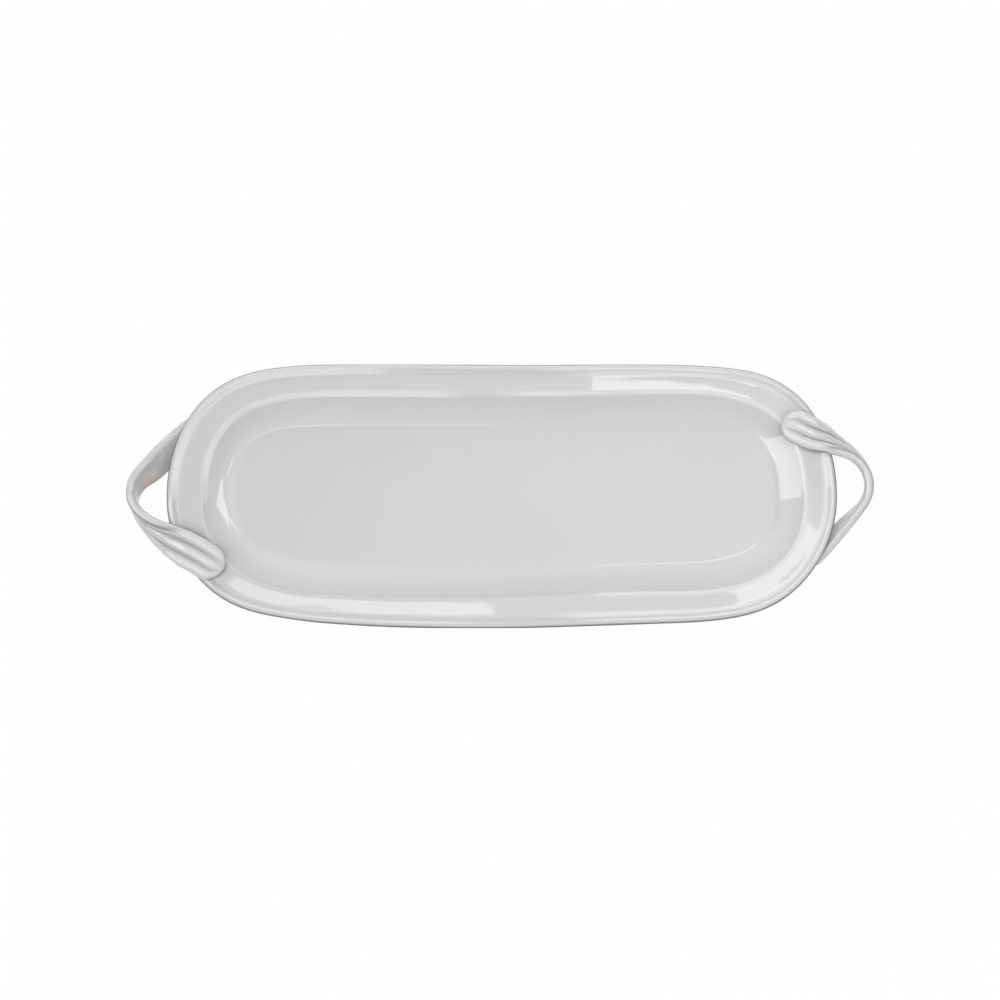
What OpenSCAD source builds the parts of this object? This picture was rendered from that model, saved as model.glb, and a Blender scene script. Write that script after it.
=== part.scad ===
// Long glazed serving platter: a narrow well, a flat rim with a raised round
// lip, a foot ring, and a pulled ribbon handle at each end.
// Millimetres, +Z up.  The origin is the middle of the foot's resting face,
// +X runs along the plate and +Y points to its far long side.

/* [Plate body] */
// Length of the body without its handles
body_l = 443.6; // [400:0.2:500]
// Width of the body
body_w = 174.2; // [155:0.2:200]
// Height of the lip above the table
body_h = 23.5; // [21:0.5:29]
// Length of each rounded end
end_l = 101; // [90:1:125]
// Squareness of the corners on the far long side, where 2 is an ellipse
far_squareness = 2.55; // [2.1:0.01:3]
// Squareness of the corners on the near long side, where 2 is an ellipse
near_squareness = 2.23; // [2.1:0.01:3]

/* [Hand shaped outline] */
// Swell of the outline in three waves round the rim
wave_3 = 0.45; // [0:0.05:1.5]
// Swell of the outline in four waves round the rim
wave_4 = 1; // [0:0.05:1.5]
// Swell of the outline in five waves round the rim
wave_5 = 0.7; // [0:0.05:1.5]

/* [Well] */
// Thickness of the floor
floor_t = 6.5; // [5:0.25:8]
// Level run of the well's side, from the flat floor out to the crease
well_run = 21; // [16:0.5:26]
// Hollowness of the well's side, where 1 is a straight slope
well_hollow = 2; // [1.5:0.05:2.6]
// How much wider the outside of the wall runs than the inside
wall_flare = 4; // [3:0.25:6]

/* [Rim] */
// Width of the flat flange, from the crease out to the lip
flange_w = 12.8; // [10:0.2:18]
// Extra width of the flange at the middle of the left end
left_extra_w = 3.5; // [0:0.5:5]
// Thickness of the flange at the crease
flange_t = 6.2; // [5:0.1:7.5]
// Fall of the flange from the lip in to the crease
flange_fall = 0.3; // [0.1:0.1:2]
// Width of the round lip
lip_w = 7.2; // [5.6:0.1:8.4]
// Rise of the lip above the flange
lip_rise = 1.9; // [1:0.1:2.6]

/* [Foot ring] */
// Height of the foot ring
foot_h = 8; // [5:0.25:9]
// Width of the foot ring
foot_w = 7; // [5:0.25:10]
// Setback of the foot ring from the edge of the flat underside
foot_setback = 2; // [1:0.5:6]

/* [Ribbon handles] */
// Width of the strap round the finger gap
strap_w = 22; // [18:0.5:25]
// Thickness of the strap
strap_t = 6.5; // [5:0.1:7.5]
// Reach of the loop beyond the rim, to the middle of its upper edge
loop_reach = 23; // [20:0.5:30]
// Depth of the two grooves along the strap
groove_depth = 1.2; // [0.4:0.1:2]
// Length of the rounded tip that lies on the rim
tip_l = 9; // [6:0.5:12]
// Joint line between a handle and the rim it is pressed on
joint_line = 0.3; // [0.2:0.05:0.6]

/* [Hidden] */

glaze_colour = [0.90, 0.90, 0.88];
clay_colour = [0.80, 0.74, 0.66];

// Places where each wave of the outline starts, in degrees
wave_3_start = 91;
wave_4_start = 134;
wave_5_start = -169;

// Points on the outline: round each end and along each side
end_steps = 46;
side_steps = 26;
stations = 2 * (end_steps + side_steps);

// The rim and the well, as distances in from the outline and heights
rim_w = lip_w + flange_w;
lip_r = lip_w / 2;
lip_z = body_h - lip_r;
flange_z = body_h - lip_rise;
crease_z = flange_z - flange_fall;
floor_z = foot_h + floor_t;
floor_inset = rim_w + well_run;
flare_in_share = 0.25;
wall_inset = rim_w - wall_flare * flare_in_share;
under_inset = floor_inset + wall_flare * (1 - flare_in_share);
wall_under_z = crease_z - flange_t;
wall_steps = 7;
lip_steps = 11;

// Where the lip's circle meets the flange above and below, in degrees up from
// straight in
lip_start = asin((flange_z - lip_z) / lip_r);
lip_end = 270;

// The handle's level where it lies on the lip and where it hangs beneath it
strap_r = strap_t / 2;
over_z = body_h + joint_line + strap_r;
under_z = wall_under_z - joint_line - strap_r;
root_l = tip_l / 2;
ribs = 3;

// Rings between two rows of a course, points across the strap's face and
// round its edge, and how many rows either side of a place give its direction
rings_per_row = 3;
face_steps = 14;
edge_steps = 6;
direction_rows = 0.02;

// How flat a handle's end is pressed and how blunt it is, as shares of the
// strap's thickness and width, and the height of the strap's spine above its
// middle, as a share of half its thickness
pressed_share = 0.7;
blunt_share = 0.15;
spine_share = 0.4;

// The course of each handle's upper edge, from its tip on the rim to its root
// beneath the rim.  Each row holds the place along the rim as a share of the
// quarter turn from the plate's end, the reach as a share of loop_reach
// outside the outline or of rim_w inside it, the height as a share of the way
// from under_z to over_z, the twist as a share of a half turn, and the width
// as a share of strap_w.
left_course_shares = [
    [0.435, -1.20, 0.82, 0.00, 1.04],
    [0.365, -1.13, 0.86, 0.00, 1.10],
    [0.275, -0.93, 0.90, 0.00, 1.11],
    [0.205, -0.60, 0.93, 0.01, 1.11],
    [0.160, -0.19, 0.98, 0.10, 1.02],
    [0.125, 0.23, 1.00, 0.27, 1.00],
    [0.090, 0.59, 0.98, 0.39, 1.00],
    [0.050, 0.87, 0.96, 0.46, 1.00],
    [0.005, 1.00, 0.94, 0.51, 1.00],
    [-0.045, 0.97, 0.90, 0.58, 1.00],
    [-0.090, 0.80, 0.84, 0.65, 1.00],
    [-0.130, 0.59, 0.72, 0.70, 0.99],
    [-0.180, 0.38, 0.54, 0.74, 0.97],
    [-0.230, 0.18, 0.33, 0.79, 0.94],
    [-0.285, 0.01, 0.18, 0.86, 0.90],
    [-0.345, -0.18, 0.13, 0.95, 0.82]
];
right_course_shares = [
    [0.395, -1.35, 0.82, 0.00, 1.00],
    [0.330, -1.19, 0.86, 0.00, 1.04],
    [0.270, -0.95, 0.90, 0.00, 1.03],
    [0.225, -0.63, 0.95, 0.04, 1.01],
    [0.195, -0.23, 0.99, 0.16, 1.00],
    [0.170, 0.17, 1.00, 0.30, 1.00],
    [0.145, 0.49, 0.99, 0.38, 1.00],
    [0.115, 0.72, 0.98, 0.42, 1.00],
    [0.077, 0.88, 0.96, 0.45, 1.00],
    [0.032, 0.93, 0.93, 0.46, 1.00],
    [-0.018, 0.85, 0.87, 0.48, 1.00],
    [-0.065, 0.63, 0.76, 0.51, 0.99],
    [-0.115, 0.40, 0.60, 0.55, 0.97],
    [-0.165, 0.21, 0.42, 0.59, 0.94],
    [-0.215, 0.07, 0.26, 0.66, 0.90],
    [-0.265, -0.05, 0.17, 0.79, 0.86],
    [-0.325, -0.20, 0.13, 0.95, 0.82]
];

function unit(v) = v / norm(v);

// The outline without its waves, at station s: the right end, the far side,
// the left end and the near side
straight_half = body_l / 2 - end_l;
function end_radius(a, squareness) =
    pow(pow(abs(cos(a)) / end_l, squareness) + pow(abs(sin(a)) / (body_w / 2), squareness),
        -1 / squareness);
function end_point(side, a) =
    let (r = end_radius(a, sin(a) > 0 ? far_squareness : near_squareness))
    [side * straight_half + r * cos(a), r * sin(a)];
function plain_point(s) =
    let (
        p = (s + stations) % stations,
        half = end_steps + side_steps,
        side = p < half ? 1 : -1,
        q = p < half ? p : p - half,
        a = -90 * side + 180 * min(q, end_steps) / end_steps,
        run = max(q - end_steps, 0) / side_steps
    )
    end_point(side, a) - [side * 2 * straight_half * run, 0];

// The outward direction and the finished outline at station s
function outward(s) =
    let (d = unit(plain_point(s + 0.5) - plain_point(s - 0.5))) [d[1], -d[0]];
function wave(s) =
    let (turn = 360 * s / stations)
    wave_3 * cos(3 * turn + wave_3_start) + wave_4 * cos(4 * turn + wave_4_start)
        + wave_5 * cos(5 * turn + wave_5_start);
function rim_point(s, reach) = plain_point(s) + outward(s) * (wave(s) + reach);

outline = [for (s = [0:stations - 1]) rim_point(s, 0)];
normals = [for (s = [0:stations - 1]) outward(s)];

// How much wider the flange is at each station, and the ring at an inset
extras = [for (n = normals) left_extra_w * pow(max(-n[0], 0), 2)];
function over_flange(reach, flange) = min(max((reach - lip_w) / flange, 0), 1);
function ring(inset) =
    [for (s = [0:stations - 1])
        outline[s] - normals[s] * (inset + extras[s] * over_flange(inset, flange_w))];

// The body's section, as pairs of inset and height, from the floor's edge up
// over the rim and back beneath to the edge of the flat underside
function well_height(inset) =
    floor_z + (crease_z - floor_z) * pow((floor_inset - inset) / well_run, well_hollow);
function wall_height(inset) =
    foot_h + (wall_under_z - foot_h)
        * pow((under_inset - inset) / (under_inset - wall_inset), well_hollow);
section = concat(
    [for (k = [0:wall_steps])
        let (d = floor_inset - well_run * k / wall_steps) [d, well_height(d)]],
    [for (k = [0:lip_steps])
        let (a = lip_start + (lip_end - lip_start) * k / lip_steps)
        [lip_r + lip_r * cos(a), lip_z + lip_r * sin(a)]],
    [for (k = [0:wall_steps])
        let (d = wall_inset + (under_inset - wall_inset) * k / wall_steps) [d, wall_height(d)]]
);

// A closed skin over rings of points, each with a fan of triangles to the
// middle of its first and last ring
function middle(points) = [for (p = points) 1] * points / len(points);
module skin(rings) {
    n = len(rings[0]);
    last = n * (len(rings) - 1);
    points = concat([for (r = rings) each r], [middle(rings[0])], [middle(rings[len(rings) - 1])]);
    faces = concat(
        [for (r = [0:len(rings) - 2], i = [0:n - 1])
            [r * n + i, (r + 1) * n + (i + 1) % n, (r + 1) * n + i]],
        [for (r = [0:len(rings) - 2], i = [0:n - 1])
            [r * n + i, r * n + (i + 1) % n, (r + 1) * n + (i + 1) % n]],
        [for (i = [0:n - 1]) [len(points) - 2, (i + 1) % n, i]],
        [for (i = [0:n - 1]) [len(points) - 1, last + i, last + (i + 1) % n]]
    );
    polyhedron(points, faces, convexity = 6);
}

module plate_body() {
    color(glaze_colour)
        skin([for (p = section) [for (q = ring(p[0])) [q[0], q[1], p[1]]]]);
}

module foot_ring() {
    color(clay_colour)
        linear_extrude(foot_h)
            difference() {
                polygon(ring(under_inset + foot_setback));
                polygon(ring(under_inset + foot_setback + foot_w));
            }
}

// A smooth course through the rows of a table, at t rows from its start
function blended(a, b, c, d, f) =
    b + ((c - a) * f + (2 * a - 5 * b + 4 * c - d) * pow(f, 2)
        + (3 * b - a - 3 * c + d) * pow(f, 3)) / 2;
function row_at(rows, t) =
    let (last = len(rows) - 1, i = min(floor(t), last - 1), f = t - i)
    blended(rows[max(i - 1, 0)], rows[i], rows[i + 1], rows[min(i + 2, last)], f);

// The middle of the strap's upper edge at t, on the end whose first station
// is first
function edge_point(rows, first, t) =
    let (
        row = row_at(rows, t),
        reach = row[1] * (row[1] > 0 ? loop_reach : rim_w),
        p = rim_point(first + end_steps * (1 + row[0]) / 2, reach)
    )
    [p[0], p[1], under_z + (over_z - under_z) * row[2]];

// The strap's section, as distances across it from its middle and heights:
// the grooved face, the lower edge, the plain face and the upper edge.  The
// grooves part the face into ribs.
function grooved(share) = groove_depth * (1 + cos(360 * ribs * share)) / 2;
function strap_section(w) =
    let (half = w / 2 - strap_r)
    concat(
        [for (k = [0:face_steps])
            let (x = half * (2 * k / face_steps - 1)) [x, strap_r - grooved(x / w + 0.5)]],
        [for (k = [1:edge_steps - 1])
            let (a = 180 * k / edge_steps) [half + strap_r * sin(a), strap_r * cos(a)]],
        [for (k = [face_steps:-2:0]) [half * (2 * k / face_steps - 1), -strap_r]],
        [for (k = [edge_steps - 1:-1:1])
            let (a = 180 * k / edge_steps) [-half - strap_r * sin(a), strap_r * cos(a)]]
    );

// The body's surface above and below at an inset, past the middle of the lip
function lip_half(inset) = sqrt(max(pow(lip_r, 2) - pow(inset - lip_r, 2), 0));
top_line = concat([for (k = [0:wall_steps]) section[k]], [[lip_w, flange_z]]);
under_line = concat([[lip_r, lip_z - lip_r]],
    [for (k = [0:wall_steps]) section[len(section) - 1 - wall_steps + k]]);
function top_at(inset) =
    inset < lip_w ? max(flange_z, lip_z + lip_half(inset)) : lookup(inset, top_line);
function under_at(inset) = min(lookup(inset, under_line), lip_z - lip_half(inset));

// Whether a point, given by its inset and height, is in the body or within a
// joint line of it: over the rim for the tip, or beneath it for the root
clear_r = lip_r + joint_line;
function inset_of(p) =
    min([for (s = [0:stations - 1])
        let (d = normals[s] * (outline[s] - [p[0], p[1]]))
        d - extras[s] * over_flange(d, flange_w + extras[s])]);
function blocked(q, over) =
    norm(q - [lip_r, lip_z]) < clear_r
    || (over && q[0] > -joint_line && q[1] < (q[0] < lip_r ? lip_z : top_at(q[0]) + joint_line))
    || (!over && q[0] > -joint_line && q[1] > (q[0] < lip_r ? lip_z : under_at(q[0]) - joint_line));

// The share of the way from a to b that is clear, by halving
function clear_share(a, b, over, low = 0, high = 1, halvings = 7) =
    halvings == 0 ? low
    : blocked(a + (b - a) * (low + high) / 2, over)
        ? clear_share(a, b, over, low, (low + high) / 2, halvings - 1)
        : clear_share(a, b, over, (low + high) / 2, high, halvings - 1);

// A point of the strap's section, drawn back to its spine where the body is
// in the way, so that the strap lies fitted to the rim
function seated(spine, p, over) =
    let (b = [inset_of(p), p[2]])
    !blocked(b, over) ? p
    : spine + (p - spine) * clear_share([inset_of(spine), spine[2]], b, over);

// One ring of the strap at t, with its ends rounded over tip_l and root_l
function end_share(s, l) = s >= l ? 1 : sqrt(1 - pow(1 - s / l, 2));
function strap_ring(rows, first, t, along, left_over) =
    let (
        row = row_at(rows, t),
        last = len(rows) - 1,
        travel = unit(edge_point(rows, first, min(t + direction_rows, last))
            - edge_point(rows, first, max(t - direction_rows, 0))),
        flat_out = unit([-travel[1], travel[0], 0]),
        up = cross(travel, flat_out),
        twist = 180 * row[3],
        across = flat_out * cos(twist) - up * sin(twist),
        face = flat_out * sin(twist) + up * cos(twist),
        w = strap_w * row[4],
        centre = edge_point(rows, first, t) + across * (w / 2 - strap_r),
        rounding = min(end_share(along, tip_l), end_share(left_over, root_l)),
        wide = blunt_share + (1 - blunt_share) * rounding,
        thick = pressed_share + (1 - pressed_share) * rounding
    )
    [for (q = strap_section(w))
        let (
            x = max(min(q[0], w / 2 - strap_r), strap_r - w / 2) * wide,
            spine = centre + across * x + face * (strap_r * spine_share * thick)
        )
        seated(spine, centre + across * (q[0] * wide) + face * (q[1] * thick), t < last / 2)];

module strap(rows, first) {
    steps = rings_per_row * (len(rows) - 1);
    spots = [for (k = [0:steps]) edge_point(rows, first, k / rings_per_row)];
    gone = [for (k = 0, l = 0; k <= steps; k = k + 1,
        l = l + norm(spots[min(k, steps)] - spots[k - 1])) l];
    skin([for (k = [0:steps])
        strap_ring(rows, first, k / rings_per_row, gone[k], gone[steps] - gone[k])]);
}

module left_handle() {
    color(glaze_colour) strap(left_course_shares, end_steps + side_steps);
}

module right_handle() {
    color(glaze_colour) strap(right_course_shares, 0);
}

plate_body();
foot_ring();
left_handle();
right_handle();
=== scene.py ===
# Long white glazed platter with a twisted ribbon handle at each end.
# Sizes in the dictionaries are millimetres and become metres as a mesh is made.
import bmesh
import bpy
import math
from mathutils import Matrix, Vector, noise


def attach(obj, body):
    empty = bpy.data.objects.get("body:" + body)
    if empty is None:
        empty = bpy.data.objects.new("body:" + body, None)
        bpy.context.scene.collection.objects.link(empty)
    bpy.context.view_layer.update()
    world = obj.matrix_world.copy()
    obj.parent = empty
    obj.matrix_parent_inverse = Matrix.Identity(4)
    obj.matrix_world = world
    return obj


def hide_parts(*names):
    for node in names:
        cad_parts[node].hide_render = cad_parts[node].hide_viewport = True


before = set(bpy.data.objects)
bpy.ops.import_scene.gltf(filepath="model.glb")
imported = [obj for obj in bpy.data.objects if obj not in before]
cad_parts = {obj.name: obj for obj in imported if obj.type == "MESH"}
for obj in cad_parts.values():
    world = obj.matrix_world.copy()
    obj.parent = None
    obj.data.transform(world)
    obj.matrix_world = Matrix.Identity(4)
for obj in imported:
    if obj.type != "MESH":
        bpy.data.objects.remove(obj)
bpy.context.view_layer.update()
mm = 0.001
print("frame loaded:", sorted(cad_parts))


def clamp(value, low=0.0, high=1.0):
    return max(low, min(high, value))


def ease(value):
    value = clamp(value)
    return value * value * (3 - 2 * value)


def rise(value, start, end):
    # from 0 at start to 1 at end, eased; it falls instead where start lies above end
    return ease((value - start) / (end - start))


def unevenness(spot, scale, layer):
    return noise.noise(Vector((spot.x / scale, spot.y / scale, layer)))


def startRing(bm, count, number):
    # a loose circle whose points know their number, and its edges
    verts = bmesh.ops.create_circle(bm, cap_ends=False, radius=1.0, segments=count)["verts"]
    for k, vert in enumerate(verts):
        vert[number] = k
    return verts, list(bm.edges)


def growRing(bm, edges):
    # the open edges drawn out once more: new points and new open edges
    grown = bmesh.ops.extrude_edge_only(bm, edges=edges)["geom"]
    return ([v for v in grown if isinstance(v, bmesh.types.BMVert)],
            [e for e in grown if isinstance(e, bmesh.types.BMEdge) and e.is_boundary])


def glazeLayers(bm):
    # the shares that the glaze reads at each point
    for name in ("paintedShade", "paintedDarkLine", "paintedHighlight", "inner", "steep"):
        bm.verts.layers.float.new(name)
    return bm.verts.layers.float


def finishMesh(bm, name, material, subdivide=0):
    for face in bm.faces:
        face.smooth = True
    mesh = bpy.data.meshes.new(name)
    bm.to_mesh(mesh)
    bm.free()
    piece = bpy.data.objects.new(name, mesh)
    bpy.context.scene.collection.objects.link(piece)
    mesh.materials.append(material)
    if subdivide:
        smoother = piece.modifiers.new("smooth", "SUBSURF")
        smoother.levels = smoother.render_levels = subdivide
    return piece


class Value:
    # a socket that takes part in plain arithmetic
    def __init__(self, sheet, socket):
        self.sheet = sheet
        self.socket = socket

    def maths(self, operation, first, second):
        return self.sheet.add("ShaderNodeMath", {"operation": operation}, {0: first, 1: second})

    def __add__(self, other):
        return self.maths("ADD", self, other)

    def __sub__(self, other):
        return self.maths("SUBTRACT", self, other)

    def __rsub__(self, other):
        return self.maths("SUBTRACT", other, self)

    def __mul__(self, other):
        return self.maths("MULTIPLY", self, other)

    def __lt__(self, other):
        return self.maths("LESS_THAN", self, other)

    def __gt__(self, other):
        return self.maths("GREATER_THAN", self, other)


class Sheet:
    # the nodes of one material or of the world
    def __init__(self, owner):
        owner.use_nodes = True
        self.tree = owner.node_tree
        self.tree.nodes.clear()

    def add(self, kind, settings=None, sockets=None, output=0):
        node = self.tree.nodes.new(kind)
        for key, value in (settings or {}).items():
            setattr(node, key, value)
        for key, value in (sockets or {}).items():
            if isinstance(value, Value):
                self.tree.links.new(value.socket, node.inputs[key])
            else:
                node.inputs[key].default_value = value
        return Value(self, node.outputs[output])

    def mix(self, share, first, second):
        return self.add("ShaderNodeMix", {"data_type": "RGBA"}, {0: share, 6: first, 7: second}, 2)

    def attribute(self, name):
        return self.add("ShaderNodeAttribute", {"attribute_name": name}, output="Fac")

    def noise(self, place, scale, detail=1.0):
        return self.add("ShaderNodeTexNoise", {}, {"Vector": place, "Scale": scale, "Detail": detail})

    def out(self, kind, shader):
        node = self.tree.nodes.new(kind)
        self.tree.links.new(shader.socket, node.inputs["Surface"])


glazeLook = {
    "white": (0.705, 0.700, 0.695, 1),   # thick, even glaze
    "clouded": (0.675, 0.668, 0.660, 1),
    "paintedHighlight": (0.86, 0.855, 0.85, 1),      # painted highlight along the sharp lines of lip and crease
    "paintedShade": (0.36, 0.35, 0.34, 1),     # painted shade in grooves and pinholes, along the lip's shoulder and the straps' arrises
    "paintedDarkLine": (0.05, 0.045, 0.04, 1),      # painted dark line: the shadow round a pressed end and along the lip's outer edge
    "inner": (0.60, 0.53, 0.48, 1),      # painted shade inside the loops, brownish like bare clay
    "roughness": 0.02,
    "depth": 1.6,                        # refraction of the glaze
    "swell": 0.00022,                    # height of the slow waves in the surface, metres
    "ripple": 0.00003,
    "peel": 0.000003,
    "pits": 0.0003,                      # depth of the pinholes
    "cloudScale": 11.0, "swellScale": 17.0, "rippleScale": 75.0, "peelScale": 520.0,
    "pitScale": 62.0, "pitSize": 0.026,
    "pitChance": 0.96,                   # share of the cells without a pinhole
    # pitShade darkens the pinholes with painted shade
    "pitShade": 0.4, "pitDullness": 0.2, "rippleDullness": 0.015,
    "cloudFrom": 0.3, "cloudGain": 1.2,  # how the clouds are spread over the white
    "leastHighlight": 0.35,                   # share of a painted highlight where the slow waves are lowest
}


def makeGlaze(name, look):
    material = bpy.data.materials.new(name)
    sheet = Sheet(material)
    place = sheet.add("ShaderNodeTexCoord", output="Object")
    cloud = sheet.noise(place, look["cloudScale"], 3.0)
    slowWave = sheet.noise(place, look["swellScale"])
    ripple = sheet.noise(place, look["rippleScale"])
    peel = sheet.noise(place, look["peelScale"], 2.0)
    # pinholes: the middle of a few of the cells, and none on steep sides, where they would draw out
    flat = {"voronoi_dimensions": "2D"}
    grid = {"Vector": place, "Scale": look["pitScale"]}
    cell = sheet.add("ShaderNodeTexVoronoi", flat, grid)
    chance = sheet.add("ShaderNodeTexVoronoi", flat, grid, "Color")
    chosen = sheet.add("ShaderNodeSeparateColor", {}, {"Color": chance}) > look["pitChance"]
    pit = (cell < look["pitSize"]) * chosen * (1 - sheet.attribute("steep"))

    tone = sheet.mix((cloud - look["cloudFrom"]) * look["cloudGain"], look["white"], look["clouded"])
    # painted highlights along the highlight lines, weaker where the slow waves are low
    tone = sheet.mix(sheet.attribute("paintedHighlight") * (slowWave + look["leastHighlight"]), tone, look["paintedHighlight"])
    # painted shade inside the loops
    tone = sheet.mix(sheet.attribute("inner"), tone, look["inner"])
    # painted shade from the shade attribute and in the pinholes
    tone = sheet.mix(sheet.attribute("paintedShade") + pit * look["pitShade"], tone, look["paintedShade"])
    # painted dark line at the pressed ends' seams and the lip's outer edge
    tone = sheet.mix(sheet.attribute("paintedDarkLine"), tone, look["paintedDarkLine"])
    height = (slowWave * look["swell"] + ripple * look["ripple"] + peel * look["peel"]
              - pit * look["pits"])
    shader = sheet.add("ShaderNodeBsdfPrincipled", {}, {
        "Base Color": tone, "IOR": look["depth"],
        "Roughness": ripple * look["rippleDullness"] + look["roughness"] + pit * look["pitDullness"],
        "Normal": sheet.add("ShaderNodeBump", {}, {"Strength": 1.0, "Distance": 1.0, "Height": height})})
    sheet.out("ShaderNodeOutputMaterial", shader)
    return material


clayLook = {
    "clay": (0.50, 0.41, 0.31, 1),
    "grog": (0.36, 0.28, 0.20, 1),
    "glaze": (0.69, 0.685, 0.68, 1),
    "bareTo": 1.8, "edge": 0.3,          # the foot is wiped clean up to here, and how soft that line is
    "wander": 0.0012,                    # how far the line wanders, metres
    "wanderScale": 60.0, "grainScale": 900.0, "speckScale": 420.0, "speckSize": 0.16,
    "grainDepth": 0.00012, "speckDepth": 0.00006, "glazeDepth": 0.0002,
    "dullness": 0.85, "gloss": 0.78,     # roughness of the clay, and how much less the glaze has
}


def makeFootFinish(name, look):
    material = bpy.data.materials.new(name)
    sheet = Sheet(material)
    place = sheet.add("ShaderNodeTexCoord", output="Object")
    height = sheet.add("ShaderNodeSeparateXYZ", {}, {"Vector": place}, "Z")
    wander = sheet.noise(place, look["wanderScale"], 3.0)
    grain = sheet.noise(place, look["grainScale"], 4.0)
    cell = sheet.add("ShaderNodeTexVoronoi", {}, {"Vector": place, "Scale": look["speckScale"]})
    speck = cell < look["speckSize"]
    glazed = sheet.add("ShaderNodeMapRange", {"interpolation_type": "SMOOTHSTEP"}, {
        "Value": height + (wander - 0.5) * look["wander"],
        "From Min": (look["bareTo"] - look["edge"]) * mm,
        "From Max": (look["bareTo"] + look["edge"]) * mm})
    clay = sheet.mix(grain * 0.6 + speck * 0.4, look["clay"], look["grog"])
    shader = sheet.add("ShaderNodeBsdfPrincipled", {}, {
        "Base Color": sheet.mix(glazed, clay, look["glaze"]),
        "Roughness": look["dullness"] - glazed * look["gloss"],
        "Normal": sheet.add("ShaderNodeBump", {}, {
            "Strength": 1.0, "Distance": 1.0,
            "Height": (grain * look["grainDepth"] + speck * look["speckDepth"]) * (1 - glazed)
            + glazed * look["glazeDepth"]})})
    sheet.out("ShaderNodeOutputMaterial", shader)
    return material


glaze = makeGlaze("white glaze", glazeLook)
footFinish = makeFootFinish("foot, wiped bare", clayLook)
print("finishes made")


# the outline that everything follows, with waves round the rim: count, swell, start in degrees
outline = {
    "length": 443.6, "width": 174.2, "endLength": 101.0,
    "farSquareness": 2.55, "nearSquareness": 2.23,
    "waves": ((3, 0.45, 91), (4, 1.0, 134), (5, 0.7, -169)),
    "endSteps": 46, "sideSteps": 26,
}
halfSteps = outline["endSteps"] + outline["sideSteps"]
straightHalf = outline["length"] / 2 - outline["endLength"]


def waved(waves, place):
    turn = math.pi * place / halfSteps
    return sum(swell * math.cos(count * turn + math.radians(start))
               for count, swell, start in waves)


def plainPoint(place):
    around = place % (2 * halfSteps)
    side = 1 if around < halfSteps else -1
    step = around % halfSteps
    angle = math.radians(-90 * side + 180 * min(step, outline["endSteps"]) / outline["endSteps"])
    run = max(step - outline["endSteps"], 0) / outline["sideSteps"]
    power = outline["farSquareness"] if math.sin(angle) > 0 else outline["nearSquareness"]
    radius = ((abs(math.cos(angle)) / outline["endLength"]) ** power
              + (abs(math.sin(angle)) / (outline["width"] / 2)) ** power) ** (-1 / power)
    return Vector((side * straightHalf * (1 - 2 * run) + radius * math.cos(angle),
                   radius * math.sin(angle)))


def outward(place):
    along = plainPoint(place + 0.5) - plainPoint(place - 0.5)
    return Vector((along.y, -along.x)).normalized()


def rimPoint(place, reach):
    return plainPoint(place) + outward(place) * (waved(outline["waves"], place) + reach)


platter = {
    "height": 23.5,
    "lipWidth": 7.2, "lipRise": 1.9, "lipCrown": 3.7,
    "flangeWidth": 12.8, "leftExtra": 3.5, "flangeDome": 0.25,
    "stepRun": 1.8, "stepFall": 1.3,     # the short steep face from the flange down to the well's side
    "wellRun": 23.3, "wellDepth": 7.0, "wellHollow": 1.5, "wellEase": 0.14, "floorDish": 0.3,
    "underLevel": 8.0, "underInset": 44.0, "wallUnder": 15.1, "wallInset": 19.0,
    # waves of the lip and of the crease, each on top of the outline's
    "edgeWaves": (
        (1, 0.25, 263), (2, 0.35, 54), (3, 0.2, 134), (6, 0.22, 283), (10, 0.45, 152), (12, 0.28, 20)),
    "creaseWaves": (
        (1, 0.22, 76), (2, 0.74, 276), (3, 0.42, 80), (4, 0.48, 90), (5, 0.39, 16), (6, 0.40, 184)),
    "sides": (-89.1, 87.3),              # how far the lip may reach to the near and far side
    # where the painted highlights lie: inset from and to, place along the rim from and to
    "highlightLines": (
        (3.3, 4.1, -8, 28), (3.3, 4.1, 33, 57), (3.3, 4.1, 106, 130),
        (6.7, 7.5, -10, 28), (6.7, 7.5, 33, 55),
        (19.6, 20.5, -8, 60), (19.6, 20.5, 99, 107),
        (3.5, 7.2, 66, 96), (19.6, 22.0, 61, 95)),
    "highlightEdge": 0.4, "highlightEnd": 3,       # how softly a painted highlight stops, in millimetres and in places
    "lipShade": 0.8, "lineShade": 0.85, "flangeShade": 0.05,     # shares of painted shade and of the painted dark line
    "farSideLight": 0.4,                 # how much fainter the painted dark line is on the far side
    "settle": 0.14, "settleScale": 62,   # slow unevenness of the clay's height
    "stations": 216,
    "hollowPoints": 40, "lipPoints": 40, "underPoints": 30,
    "soften": 4, "finestStep": 0.25,     # passes that round the section's corners, and its first spacing
    "longestStep": 2.4, "sharpestTurn": 11.0,
    # the rings that close the underside and the floor, as shares of the last ring's size
    "underRings": (0.93, 0.8, 0.6, 0.4, 0.2, 0.06),
    "floorRings": (0.96, 0.9, 0.8, 0.68, 0.54, 0.4, 0.26, 0.12, 0.04),
}
rimWidth = platter["lipWidth"] + platter["flangeWidth"]
flangeLevel = platter["height"] - platter["lipRise"]
floorInset = rimWidth + platter["wellRun"]


def rimStations():
    # places round the rim, with the rim's edge and the way inwards at each
    step = 2 * halfSteps / platter["stations"]
    places = [k * step for k in range(platter["stations"])]
    return places, [rimPoint(place, 0) for place in places], [-outward(place) for place in places]


def evenPoints(corners, spacing):
    # points at even spacing along a line through the corners
    points = [corners[0]]
    for a, b in zip(corners, corners[1:]):
        count = max(1, round(math.dist(a, b) / spacing))
        points += [(a[0] + (b[0] - a[0]) * k / count, a[1] + (b[1] - a[1]) * k / count)
                   for k in range(1, count + 1)]
    return points


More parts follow.
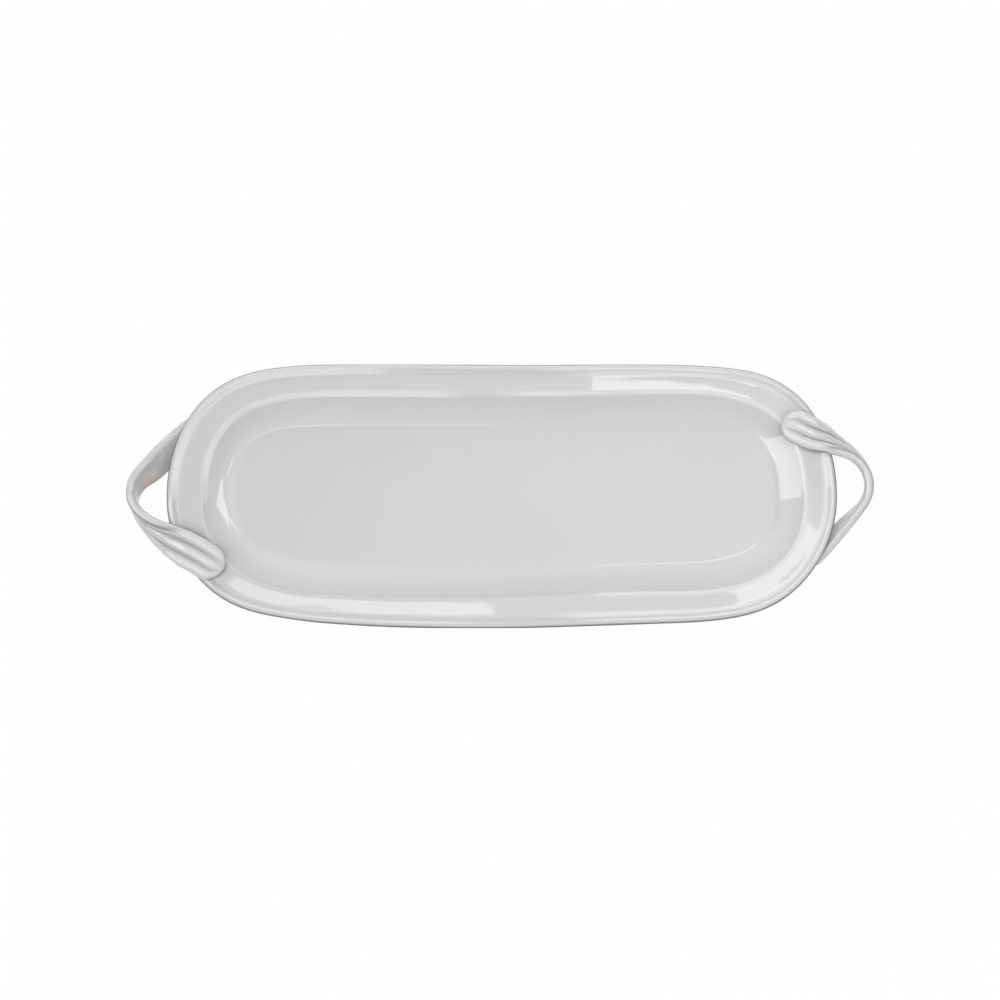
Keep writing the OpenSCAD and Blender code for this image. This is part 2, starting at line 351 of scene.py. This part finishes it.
def platterSection():
    # pairs of inset and height, from inside the floor over the rim to the flat underside
    p = platter
    crease = flangeLevel + p["flangeDome"]
    stepFoot = rimWidth + p["stepRun"]
    wallTop = crease - p["stepFall"]
    floor = crease - p["wellDepth"]
    half = p["lipWidth"] / 2
    lipMiddle = p["height"] - half
    corners = [(floorInset + 10, floor)]
    soft = p["wellEase"]
    last = p["hollowPoints"]
    for k in range(last + 1):
        up = (math.hypot(k / last, soft) - soft) / (math.hypot(1, soft) - soft)
        corners.append((floorInset + (stepFoot - floorInset) * k / last,
                        floor + (wallTop - floor) * up ** p["wellHollow"]))
    corners += [(rimWidth - 0.1, crease), (p["lipWidth"] - 0.1, flangeLevel),
                (p["lipCrown"], p["height"])]
    for k in range(1, p["lipPoints"]):
        angle = math.radians(90 + 180 * k / p["lipPoints"])
        corners.append((p["lipCrown"] * (1 + math.cos(angle)), lipMiddle + half * math.sin(angle)))
    corners.append((p["wallInset"], p["wallUnder"]))
    for k in range(1, p["underPoints"] + 1):
        run = k / p["underPoints"]
        corners.append((p["wallInset"] + (p["underInset"] - p["wallInset"]) * run,
                        p["underLevel"] + (p["wallUnder"] - p["underLevel"]) * (1 - run) ** 2))
    corners.append((p["underInset"] + 4, p["underLevel"]))
    points = evenPoints(corners, p["finestStep"])
    for _ in range(p["soften"]):
        points = [points[0]] + [
            tuple((a + 2 * b + c) / 4 for a, b, c in zip(before, here, after))
            for before, here, after in zip(points, points[1:], points[2:])] + [points[-1]]
    # keep a point wherever the line has run or turned far enough
    kept = [points[0]]
    owed = 0.0
    for before, here, after in zip(points, points[1:], points[2:]):
        turn = abs(math.atan2(after[1] - here[1], after[0] - here[0])
                   - math.atan2(here[1] - before[1], here[0] - before[0]))
        turn = min(turn, 2 * math.pi - turn)
        owed += math.dist(before, here) / p["longestStep"] + math.degrees(turn) / p["sharpestTurn"]
        if owed >= 1:
            kept.append(here)
            owed = 0.0
    return kept + [points[-1]]


def makePlatter():
    p = platter
    bm = bmesh.new()
    station = bm.verts.layers.int.new("station")
    coat = glazeLayers(bm)
    places, edgePoints, inwards = rimStations()
    edgeShifts = [-waved(p["edgeWaves"], place) for place in places]
    creaseShifts = [waved(p["creaseWaves"], place) for place in places]
    lipMiddle = p["height"] - p["lipWidth"] / 2

    def highlightShare(place, inset):
        # share of painted highlight at this spot of the rim
        most = 0.0
        ahead = 20                       # places before a line's start that still count as before it
        for insetFrom, insetTo, placeFrom, placeTo in p["highlightLines"]:
            along = (place - placeFrom + ahead) % (2 * halfSteps) - ahead
            ends = ease(min(along, placeTo - placeFrom - along) / p["highlightEnd"])
            across = clamp(1 + min(inset - insetFrom, insetTo - inset) / p["highlightEdge"])
            most = max(most, ends * across)
        return most

    def putRing(verts, inset, height, under, share=1.0):
        for vert in verts:
            k = vert[station]
            if under:
                shift = edgeShifts[k] * clamp(1 - inset / rimWidth)
            else:
                inner = ease((inset - p["lipWidth"] + 1) / 6)
                fade = 1 - ease((inset - rimWidth - 3) / (p["wellRun"] - 3))
                shift = edgeShifts[k] * (1 - inner) + creaseShifts[k] * inner * fade
            onFlange = clamp((inset - p["lipWidth"]) / p["flangeWidth"])
            extra = p["leftExtra"] * max(inwards[k].x, 0) ** 2 * onFlange
            spot = (edgePoints[k] + inwards[k] * (inset + extra + shift)) * share
            spot.y = clamp(spot.y, *p["sides"])
            settle = unevenness(spot, p["settleScale"], 3.1) * p["settle"]
            vert.co = Vector((spot.x, spot.y, height + settle)) * mm
            # painted shade and a painted dark line round the lip's outer shoulder, faint painted shade over
            # the flange, and painted highlights where the highlight lines are
            above = height - lipMiddle
            shoulderShade = rise(above, -0.9, 0.5) * (1 - p["farSideLight"] * clamp(-1.3 * inwards[k].y - 0.3))
            level = rise(inset, p["lipWidth"], p["lipWidth"] + 1.5) * rise(inset, rimWidth, rimWidth - 1.5)
            vert[coat["paintedShade"]] = (
                p["lipShade"] * shoulderShade * clamp(1.3 - inset / 1.5) * rise(above, 3.2, 1.2)
                + p["flangeShade"] * level)
            vert[coat["paintedDarkLine"]] = p["lineShade"] * shoulderShade * rise(inset, 1.6, 0.8) * rise(above, 3.0, 1.8)
            vert[coat["paintedHighlight"]] = 0.0 if under else highlightShare(places[k], inset)
            vert[coat["steep"]] = float(under)

    def nextRing(edges, inset, height, under, share=1.0):
        verts, edges = growRing(bm, edges)
        putRing(verts, inset, height, under, share)
        return edges

    section = platterSection()
    verts, firstEdges = startRing(bm, p["stations"], station)
    putRing(verts, *section[0], False)
    ring = firstEdges
    over = False                         # whether the section has passed the lip's crown
    for inset, height in section[1:]:
        over = over or inset < p["lipCrown"] / 2
        ring = nextRing(ring, inset, height, over)
    inset, height = section[-1]
    for share in p["underRings"]:
        ring = nextRing(ring, inset, height, True, share)
    bmesh.ops.edgeloop_fill(bm, edges=ring)
    inset, height = section[0]
    ring = firstEdges
    for share in p["floorRings"]:
        ring = nextRing(ring, inset, height - p["floorDish"] * (1 - share), False, share)
    bmesh.ops.edgeloop_fill(bm, edges=ring)
    bmesh.ops.recalc_face_normals(bm, faces=bm.faces)
    return finishMesh(bm, "platter", glaze, subdivide=1)


platterPiece = makePlatter()
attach(platterPiece, "root")
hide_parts("plate_body")
print("platter made:", len(platterPiece.data.polygons), "faces")


foot = {
    "height": 8.0, "width": 7.0, "setback": 2.0,
    "edge": 1.1, "draft": 0.25,          # round of the resting face's edges, and how much the sides lean
    "wander": 0.25, "wanderScale": 18,   # unevenness left by the turning
}


def makeFoot():
    bm = bmesh.new()
    station = bm.verts.layers.int.new("station")
    places, edgePoints, inwards = rimStations()
    outer = platter["underInset"] + foot["setback"]
    edge, lean, width, top = foot["edge"], foot["draft"], foot["width"], foot["height"]
    # one side of the ring's section, down to the resting face; the other mirrors it
    side = [(0, top + 0.4), (0.1, top * 0.5), (lean, edge),
            (edge * 0.4 + lean, edge * 0.3), (edge + lean, 0)]
    corners = side + [(width - inset, height) for inset, height in reversed(side)]

    def putRing(verts, inset, height):
        for vert in verts:
            k = vert[station]
            extra = platter["leftExtra"] * max(inwards[k].x, 0) ** 2
            spot = edgePoints[k] + inwards[k] * (outer + inset + extra)
            spot += inwards[k] * foot["wander"] * unevenness(spot, foot["wanderScale"], inset)
            vert.co = Vector((spot.x, spot.y, height)) * mm

    verts, firstEdges = startRing(bm, len(places), station)
    putRing(verts, *corners[0])
    ring = firstEdges
    for inset, height in corners[1:]:
        verts, ring = growRing(bm, ring)
        putRing(verts, inset, height)
    bmesh.ops.bridge_loops(bm, edges=ring + firstEdges)
    bmesh.ops.recalc_face_normals(bm, faces=bm.faces)
    return finishMesh(bm, "turned_foot", footFinish, subdivide=1)


footPiece = makeFoot()
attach(footPiece, "root")
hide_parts("foot_ring")
print("foot ring made")


strap = {
    "width": 22.0, "thickness": 6.5, "reach": 23.0,
    "grooveDepth": 1.4, "grooveNarrowness": 2.8,
    "grooveStart": 0.35, "grooveRun": 30, "grooveFade": 5,    # the grooves are shallower near the tip
    "jointLine": 0.3, "shaved": 0.05,    # clearance over the rim, and off the strap all round
    "tipLength": 10.0, "rootLength": 4.5, "pressed": 0.62, "blunt": 0.06,
    "onRimTo": (0.22, 0.30),             # shares of the course between which the strap leaves the rim
    "ribHighlight": 0.7, "arrisShade": 0.95, "seamShade": 0.9,       # shares of painted highlight and painted shade
    "ringsPerRow": 5, "facePoints": 31, "edgePoints": 8, "backPoints": 11,
}
# place along the rim as a share of the quarter turn from the end, reach outside
# the rim (or inside it, as a share of the rim), height share, twist share of a
# half turn, width share; from the tip on the rim to the root beneath it
leftCourse = (
    (0.435, -1.20, 0.82, 0.00, 1.04), (0.365, -1.13, 0.86, 0.00, 1.10), (0.275, -0.93, 0.90, 0.00, 1.11),
    (0.205, -0.60, 0.93, 0.01, 1.11), (0.160, -0.19, 0.98, 0.10, 1.02), (0.125, 0.23, 1.00, 0.27, 1.00),
    (0.090, 0.59, 0.98, 0.39, 1.00), (0.050, 0.87, 0.96, 0.46, 1.00), (0.005, 1.00, 0.94, 0.51, 1.00),
    (-0.045, 0.97, 0.90, 0.58, 1.00), (-0.090, 0.80, 0.84, 0.65, 1.00), (-0.130, 0.59, 0.72, 0.70, 0.99),
    (-0.180, 0.38, 0.54, 0.74, 0.97), (-0.230, 0.18, 0.33, 0.79, 0.94), (-0.285, 0.01, 0.18, 0.86, 0.90),
    (-0.345, -0.18, 0.13, 0.95, 0.82))
rightCourse = (
    (0.395, -1.35, 0.82, 0.00, 1.00), (0.330, -1.19, 0.86, 0.00, 1.04), (0.270, -0.95, 0.90, 0.00, 1.03),
    (0.225, -0.63, 0.95, 0.04, 1.01), (0.195, -0.23, 0.99, 0.16, 1.00), (0.170, 0.17, 1.00, 0.30, 1.00),
    (0.145, 0.49, 0.99, 0.38, 1.00), (0.115, 0.72, 0.98, 0.42, 1.00), (0.077, 0.88, 0.96, 0.45, 1.00),
    (0.032, 0.93, 0.93, 0.46, 1.00), (-0.018, 0.85, 0.87, 0.48, 1.00), (-0.065, 0.63, 0.76, 0.51, 0.99),
    (-0.115, 0.40, 0.60, 0.55, 0.97), (-0.165, 0.21, 0.42, 0.59, 0.94), (-0.215, 0.07, 0.26, 0.66, 0.90),
    (-0.265, -0.05, 0.17, 0.79, 0.86), (-0.325, -0.20, 0.13, 0.95, 0.82))


def rowAt(course, t):
    # a smooth course through the rows
    last = len(course) - 1
    i = min(int(t), last - 1)
    f = t - i
    a, b, c, d = (course[k] for k in (max(i - 1, 0), i, i + 1, min(i + 2, last)))
    return [q + ((r - p) * f + (2 * p - 5 * q + 4 * r - s) * f ** 2 + (3 * q - p - 3 * r + s) * f ** 3) / 2
            for p, q, r, s in zip(a, b, c, d)]


def upperEdge(course, firstPlace, t):
    row = rowAt(course, t)
    spot = rimPoint(firstPlace + outline["endSteps"] * (1 + row[0]) / 2,
                    row[1] * (strap["reach"] if row[1] > 0 else rimWidth))
    half = strap["thickness"] / 2
    over = platter["height"] + strap["jointLine"] + half
    under = platter["wallUnder"] - strap["jointLine"] - half
    return Vector((spot.x, spot.y, under + (over - under) * row[2]))


def strapSection(width, groove):
    # distance across the strap, height and groove share of each point:
    # the ribbed face, the lower edge, the plain face and the upper edge
    radius = strap["thickness"] / 2 - strap["shaved"]
    half = (width - strap["thickness"]) / 2
    points = []
    for k in range(strap["facePoints"]):
        x = half * (2 * k / (strap["facePoints"] - 1) - 1)
        dip = ((1 + math.cos(6 * math.pi * (x / width + 0.5))) / 2) ** strap["grooveNarrowness"]
        points.append((x, radius - groove * dip, dip))
    for k in range(1, strap["edgePoints"]):
        angle = math.pi * k / strap["edgePoints"]
        points.append((half + radius * math.sin(angle), radius * math.cos(angle), 0.0))
    for k in range(strap["backPoints"]):
        points.append((half * (1 - 2 * k / (strap["backPoints"] - 1)), -radius, 0.0))
    for k in range(strap["edgePoints"] - 1, 0, -1):
        angle = math.pi * k / strap["edgePoints"]
        points.append((-half - radius * math.sin(angle), radius * math.cos(angle), 0.0))
    return points


def endShare(distance, length):
    return 1.0 if distance >= length else math.sqrt(max(1 - (1 - distance / length) ** 2, 0))


def makeHandle(name, course, firstPlace):
    bm = bmesh.new()
    around = bm.verts.layers.int.new("around")
    coat = glazeLayers(bm)
    last = len(course) - 1
    times = [k / strap["ringsPerRow"] for k in range(strap["ringsPerRow"] * last + 1)]
    spots = [upperEdge(course, firstPlace, t) for t in times]
    gone = [0.0]
    for before, here in zip(spots, spots[1:]):
        gone.append(gone[-1] + (here - before).length)
    radius = strap["thickness"] / 2

    def putRing(verts, t, along):
        row = rowAt(course, t)
        travel = (upperEdge(course, firstPlace, min(t + 0.05, last))
                  - upperEdge(course, firstPlace, max(t - 0.05, 0))).normalized()
        flatOut = Vector((-travel.y, travel.x, 0)).normalized()
        up = travel.cross(flatOut)
        twist = math.pi * row[3]
        across = flatOut * math.cos(twist) - up * math.sin(twist)
        face = flatOut * math.sin(twist) + up * math.cos(twist)
        width = strap["width"] * row[4]
        rounding = min(endShare(along, strap["tipLength"]), endShare(gone[-1] - along, strap["rootLength"]))
        wide = strap["blunt"] + (1 - strap["blunt"]) * rounding
        thick = strap["pressed"] + (1 - strap["pressed"]) * rounding
        start = strap["grooveStart"]
        groove = (strap["grooveDepth"] * (start + (1 - start) * ease(along / strap["grooveRun"]))
                  * ease(along / strap["grooveFade"]))
        centre = upperEdge(course, firstPlace, t) + across * (width / 2 - radius)
        # a pressed end keeps to the rim, so it thins from its outer face
        centre -= face * radius * (1 - thick) * (1 if t < last / 2 else -1)
        section = strapSection(width, groove)
        offRim = rise(t / last, *strap["onRimTo"])
        for vert in verts:
            x, height, dip = section[vert[around]]
            vert.co = (centre + across * (x * wide) + face * (height * thick)) * mm
            # shares: -0.5 at the upper edge to 0.5 at the lower, and 1 at the ribs to -1 at the plain face
            down, front = x / width, height / radius
            ribbed = front > 0.2
            # painted shade in the grooves, and along the arris above the ribs where the strap stands on
            # edge
            grooveShade = (0.6 + 0.4 * ease(along / 30)) * dip ** 3 * rise(along, 2, 8) * ribbed
            arrisMask = rise(front, 0.56, 0.96) * rise(down, -0.28, -0.36)
            vert[coat["paintedShade"]] = max(grooveShade, strap["arrisShade"] * offRim * arrisMask)
            # painted highlight on the rib crowns where the strap lies on the rim
            crownHighlight = rise(dip ** (1 / strap["grooveNarrowness"]), 0.12, 0)
            vert[coat["paintedHighlight"]] = strap["ribHighlight"] * (1 - offRim) * crownHighlight * rise(front, 0.8, 1) * ribbed
            # painted shadow darkens the side towards the seam where the strap lies on the rim
            vert[coat["paintedDarkLine"]] = strap["seamShade"] * (1 - offRim) * rise(front, 0.45, -0.05)
            # painted shade on the plain face, brownish like bare clay, more towards its lower edge and less
            # towards the root
            innerShade = (0.3 + 0.7 * rise(down, -0.5, 0.5)) * (1 - 0.8 * rise(t / last, 0.62, 0.82))
            vert[coat["inner"]] = offRim * rise(front, -0.35, -0.85) * innerShade

    pointCount = strap["facePoints"] + strap["backPoints"] + 2 * (strap["edgePoints"] - 1)
    verts, firstEdges = startRing(bm, pointCount, around)
    putRing(verts, 0.0, 0.0)
    ring = firstEdges
    for t, along in zip(times[1:], gone[1:]):
        verts, ring = growRing(bm, ring)
        putRing(verts, t, along)
    bmesh.ops.edgeloop_fill(bm, edges=ring)
    bmesh.ops.edgeloop_fill(bm, edges=firstEdges)
    bmesh.ops.recalc_face_normals(bm, faces=bm.faces)
    return finishMesh(bm, name, glaze, subdivide=1)


for side, course, firstPlace in (("left", leftCourse, halfSteps), ("right", rightCourse, 0)):
    handle = makeHandle(side + "_ribbon_handle", course, firstPlace)
    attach(handle, "root")
    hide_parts(side + "_handle")
    print(side, "handle made:", len(handle.data.polygons), "faces")


floorLook = {"size": 3.0, "colour": (0.86, 0.86, 0.86, 1), "shownWhite": 0.965}


def makeFloor():
    bm = bmesh.new()
    bmesh.ops.create_grid(bm, x_segments=1, y_segments=1, size=floorLook["size"])
    material = bpy.data.materials.new("pale floor")
    sheet = Sheet(material)
    seen, mirrored, through = (
        sheet.add("ShaderNodeLightPath", output=ray)
        for ray in ("Is Camera Ray", "Is Glossy Ray", "Is Transmission Ray"))
    matt = sheet.add("ShaderNodeBsdfDiffuse", {}, {"Color": floorLook["colour"]})
    white = sheet.add("ShaderNodeEmission", {}, {"Color": (1, 1, 1, 1), "Strength": 1.0})
    shown = sheet.add("ShaderNodeMixShader", {}, {
        0: (seen + mirrored + through) * floorLook["shownWhite"], 1: matt, 2: white})
    sheet.out("ShaderNodeOutputMaterial", shown)
    return finishMesh(bm, "floor", material)


makeFloor()


# each softbox: middle, which way it faces, its turn about that, size along and across, and radiance
studio = {
    "room": 0.09, "ceiling": 1.10,       # radiance of the surroundings, and of the bright part overhead
    "bright": {"towards": (0.0, 0.12, 1.0), "fade": (0.30, 0.80)},
    "dim": {"towards": (-0.22, 0.10, 1.0), "fade": (0.06, 0.26)},   # a dull patch in the bright part
    "softboxes": {
        "leftWindow": {"at": (-3.496, -0.560, 4.705), "faces": (1.2, 0.98, -1), "turn": -6.2,
                       "size": (7.024, 2.770), "glow": 3.1, "colour": (0.95, 0.98, 1.0)},
        "rightWindow": {"at": (1.087, 0.467, 2.692), "faces": (-0.97, -1.1, -1), "turn": 41.3,
                        "size": (0.764, 0.414), "glow": 3.6, "colour": (1, 1, 1)},
        "leftStrip": {"at": (-0.225, -0.028, 1.918), "turn": 2.7, "size": (0.400, 0.055), "glow": 3.0},
        "farStrip": {"at": (0.253, 0.413, 1.885), "turn": 10.6, "size": (0.261, 0.061), "glow": 3.6},
        "rightStrip": {"at": (0.442, 0.056, 1.901), "turn": -40.9, "size": (0.221, 0.079), "glow": 3.2},
        "lowNear": {"at": (-0.051, -1.474, 1.032), "turn": 0.0, "size": (1.0, 0.66), "glow": 1.0},
        "lowRight": {"at": (1.206, -0.783, 1.083), "turn": 0.0, "size": (0.80, 2.4), "glow": 1.6},
        "lowFar": {"at": (0.0, 2.2, 0.55), "turn": 0.0, "size": (2.4, 0.5), "glow": 5.0},
    },
}


def makeLight():
    world = bpy.data.worlds.new("studio")
    bpy.context.scene.world = world
    sheet = Sheet(world)
    direction = sheet.add("ShaderNodeTexCoord", output="Generated")
    outOf = {}
    for part in ("bright", "dim"):
        away = sheet.add("ShaderNodeVectorMath", {"operation": "DISTANCE"}, {
            0: direction, 1: Vector(studio[part]["towards"]).normalized()}, "Value")
        outOf[part] = sheet.add("ShaderNodeMapRange", {"interpolation_type": "SMOOTHSTEP"}, {
            "Value": away, "From Min": studio[part]["fade"][0], "From Max": studio[part]["fade"][1]})
    sides, ceiling = (
        sheet.add("ShaderNodeBackground", {}, {"Color": (1, 1, 1, 1), "Strength": studio[part]})
        for part in ("room", "ceiling"))
    sheet.out("ShaderNodeOutputWorld", sheet.add("ShaderNodeMixShader", {}, {
        0: (1 - outOf["bright"]) * outOf["dim"], 1: sides, 2: ceiling}))
    for name, box in studio["softboxes"].items():
        lamp = bpy.data.lights.new(name, "AREA")
        lamp.shape = "RECTANGLE"
        lamp.size, lamp.size_y = box["size"]
        lamp.color = box.get("colour", (1, 1, 1))
        # a lamp of this power glows evenly at the radiance given
        lamp.energy = box["glow"] * box["size"][0] * box["size"][1] * math.pi
        facing = Vector(box.get("faces", Vector((0, 0, 0)) - Vector(box["at"]))).normalized()
        level = Vector((0, 1, 0)).cross(facing).normalized()
        side = Matrix.Rotation(math.radians(box["turn"]), 3, facing) @ level
        holder = bpy.data.objects.new(name, lamp)
        placed = Matrix((side, side.cross(facing), -facing)).transposed().to_4x4()
        placed.translation = box["at"]
        holder.matrix_world = placed
        bpy.context.scene.collection.objects.link(holder)
    print("light set")


makeLight()

view = {"distance": 1.6, "elevation": 84.0, "aim": (-0.00125, -0.0037, 0.0192), "widthAtAim": 0.6658}


def makeCamera():
    camera = bpy.data.cameras.new("camera")
    camera.sensor_width = 36.0
    camera.lens = camera.sensor_width * view["distance"] / view["widthAtAim"]
    holder = bpy.data.objects.new("camera", camera)
    slope = math.radians(view["elevation"])
    back = Vector((0, -math.cos(slope), math.sin(slope)))
    holder.location = Vector(view["aim"]) + back * view["distance"]
    holder.rotation_euler = (-back).to_track_quat("-Z", "Y").to_euler()
    bpy.context.scene.collection.objects.link(holder)
    bpy.context.scene.camera = holder
    bpy.context.scene.view_settings.view_transform = "Standard"


makeCamera()
